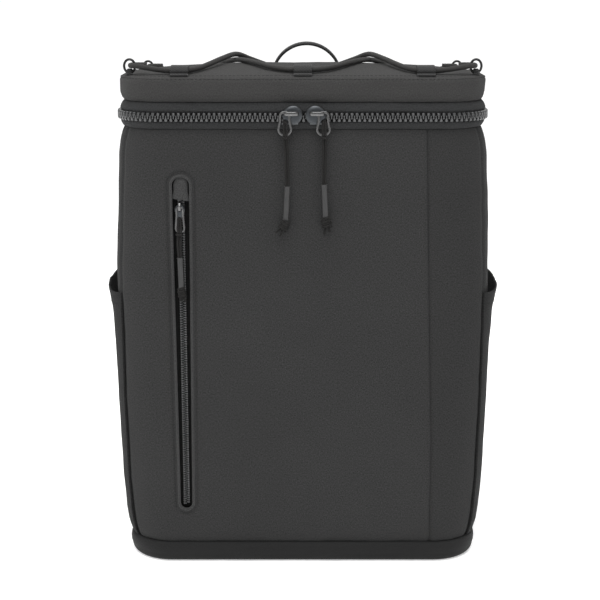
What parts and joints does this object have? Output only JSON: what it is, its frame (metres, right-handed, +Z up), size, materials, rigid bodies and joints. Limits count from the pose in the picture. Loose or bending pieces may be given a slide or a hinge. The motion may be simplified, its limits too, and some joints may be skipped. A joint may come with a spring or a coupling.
{
  "type": "cooler backpack",
  "caption": "Upright soft-sided cooler backpack with a zipped insulated lid, bungee lashing on top, a slim front zip pocket, open side pockets and padded shoulder straps.",
  "frame": {"origin": "centre of the object's box on the surface that it stands on", "axes": "+Z up, -Y out of the front face with the slim zip pocket, +X to the right of someone looking at the front"},
  "size_m": [0.3452, 0.2444, 0.44],
  "materials": {
    "body_fabric": "heathered charcoal polyester weave, matt",
    "base_fabric": "darker coated weave",
    "zip_tape": "woven zip tape",
    "zip_teeth": "moulded resin teeth, satin",
    "slider_metal": "gunmetal plating, worn bright on the bails",
    "ring_metal": "black coated wire",
    "webbing": "ribbed nylon webbing",
    "cord": "braided cord sheath",
    "sleeve": "satin grip sleeve",
    "buckle": "moulded nylon, fine grain"
  },
  "bodies": {
    "root": {"insulated_tub": "body_fabric", "lid": "body_fabric", "lid_hinge_band": "body_fabric", "front_pocket_panel": "body_fabric", "front_side_panel": "body_fabric", "left_side_pocket": "body_fabric", "right_side_pocket": "body_fabric", "back_panel": "body_fabric", "pocket_zip_garage": "body_fabric", "left_shoulder_strap": "body_fabric", "right_shoulder_strap": "body_fabric", "base_panel": "base_fabric", "zip_tape_lower": "zip_tape", "zip_tape_upper": "zip_tape", "pocket_zip_tape": "zip_tape", "zip_chain": "zip_teeth", "pocket_zip_chain": "zip_teeth", "left_slider": "slider_metal", "right_slider": "slider_metal", "pocket_slider": "slider_metal", "left_puller": "slider_metal", "right_puller": "slider_metal", "pocket_puller": "slider_metal", "left_pull_cord": "cord", "right_pull_cord": "cord", "pocket_pull_cord": "cord", "left_pull_sleeve": "sleeve", "right_pull_sleeve": "sleeve", "pocket_pull_sleeve": "sleeve", "left_pull_knot": "cord", "right_pull_knot": "cord", "pocket_pull_knot": "cord", "front_webbing_loop_1": "webbing", "front_webbing_loop_2": "webbing", "front_webbing_loop_3": "webbing", "back_webbing_loop_1": "webbing", "back_webbing_loop_2": "webbing", "back_webbing_loop_3": "webbing", "front_left_ring": "ring_metal", "front_right_ring": "ring_metal", "back_left_ring": "ring_metal", "back_right_ring": "ring_metal", "front_left_ring_tab": "webbing", "front_right_ring_tab": "webbing", "back_left_ring_tab": "webbing", "back_right_ring_tab": "webbing", "bungee_cord_upper": "cord", "bungee_cord_lower": "cord", "right_strap_buckle": "buckle", "left_strap_buckle": "buckle", "right_strap_webbing": "webbing", "left_strap_webbing": "webbing", "right_strap_anchor": "webbing", "left_strap_anchor": "webbing", "haul_handle": "webbing"}
  },
  "joints": []
}
